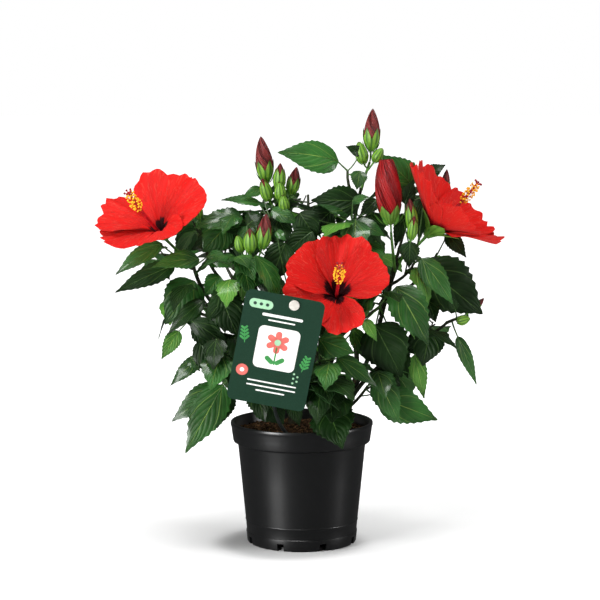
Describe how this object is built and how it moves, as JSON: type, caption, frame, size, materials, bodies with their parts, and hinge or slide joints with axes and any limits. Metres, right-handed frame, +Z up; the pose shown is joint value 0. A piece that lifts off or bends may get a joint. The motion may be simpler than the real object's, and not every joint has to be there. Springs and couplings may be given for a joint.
{
  "type": "hibiscus shrub",
  "caption": "Flowering shrub in a round nursery pot, with leafy boughs, open funnel-shaped blooms, buds and a plain care card on a stick; stands on the pot's flat underside.",
  "frame": {"origin": "centre of the pot's flat underside, at floor level", "axes": "+Z up along the pot's axis, -Y towards the viewer's side with the care card, +X to the viewer's right"},
  "size_m": [0.3728, 0.259, 0.401],
  "materials": {
    "pot_plastic": "satin black moulded plastic",
    "peat": "loose brown peat with small lumps",
    "card_plastic": "dark green printed card, satin",
    "button_plastic": "off-white push button",
    "stick_plastic": "dark moulded stick",
    "bark": "fine grey-brown bark",
    "shoot": "smooth dark green-brown young bark",
    "leaf": "glossy dark green leaf with paler veins",
    "petal": "soft satin orange-red petal",
    "bud": "bright green ribbed calyx with dark red rolled petals"
  },
  "bodies": {
    "root": {"pot": "pot_plastic", "soil": "peat", "label_card": "card_plastic", "label_button": "button_plastic", "label_stick": "stick_plastic", "stem_main": "bark", "stem_right": "bark", "stem_back": "bark", "bough_left": "shoot", "bough_centre": "shoot", "bough_front": "shoot", "bough_low_left": "shoot", "bough_bud": "shoot", "bough_top": "shoot", "bough_right": "shoot", "bough_low_right": "shoot", "bough_right_high": "shoot", "bough_back_left": "shoot", "bough_back_top": "shoot", "bough_back_right": "shoot", "bough_left_high": "shoot", "bough_side_right": "shoot", "bough_side_left": "shoot", "bloom_left": "petal", "bloom_front": "petal", "bloom_right": "petal", "buds_a": "bud", "buds_b": "bud", "buds_c": "bud", "buds_d": "bud", "buds_e": "bud", "foliage_top": "leaf", "foliage_top_right": "leaf", "foliage_right": "leaf", "foliage_right_low": "leaf", "foliage_right_mid": "leaf", "foliage_right_tip": "leaf", "foliage_right_bottom": "leaf", "foliage_low_front": "leaf", "foliage_low_left": "leaf", "foliage_left": "leaf", "foliage_left_tip": "leaf", "foliage_upper_left": "leaf", "foliage_top_left": "leaf", "foliage_centre_left": "leaf", "foliage_centre": "leaf", "foliage_front": "leaf", "foliage_left_high": "leaf", "foliage_side_left": "leaf", "foliage_side_right": "leaf", "foliage_back_left": "leaf", "foliage_back_top": "leaf", "foliage_back_right": "leaf", "foliage_back_low": "leaf"}
  },
  "joints": []
}
